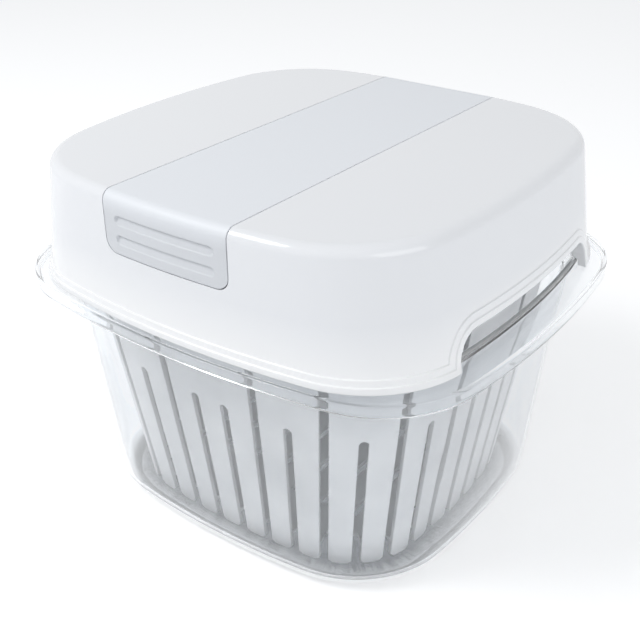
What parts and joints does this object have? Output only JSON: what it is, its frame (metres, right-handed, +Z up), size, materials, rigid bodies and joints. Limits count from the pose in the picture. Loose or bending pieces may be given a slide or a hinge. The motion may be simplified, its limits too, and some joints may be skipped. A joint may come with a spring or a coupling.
{
  "type": "herb keeper",
  "caption": "Herb keeper: clear flanged container, slotted lift-out basket, tall white lid with side arches and a rear-hinged flap with finger grip over a top opening",
  "frame": {"origin": "centre of the underside of the container, on the surface it stands on", "axes": "+Z up, -Y the side with the finger grip, +X the right-hand side with an arch"},
  "size_m": [0.2148, 0.196, 0.158],
  "materials": {
    "clear_body": "clear, polished",
    "frosted_basket": "frosted, translucent",
    "white_lid": "glossy white",
    "grey_flap": "satin light grey",
    "soft_seal": "soft, translucent grey",
    "steel_pin": "drawn wire"
  },
  "bodies": {
    "container": {"container": "clear_body"},
    "basket": {"basket": "frosted_basket"},
    "lid": {"lid_shell": "white_lid", "flap_seal": "soft_seal", "flap_pin": "steel_pin"},
    "flap": {"top_flap": "grey_flap"}
  },
  "joints": [
    {"name": "lid_lift", "type": "slide", "parent": "container", "child": "lid", "axis": [0, 0, 1], "range_m": [0, 0.12]},
    {"name": "basket_lift", "type": "slide", "parent": "container", "child": "basket", "axis": [0, 0, 1], "range_m": [0, 0.022]},
    {"name": "flap_hinge", "type": "hinge", "parent": "lid", "child": "flap", "pos_m": [0, 0.08959, 0.1538], "axis": [-1, 0, 0], "range_deg": [0, 100]}
  ]
}
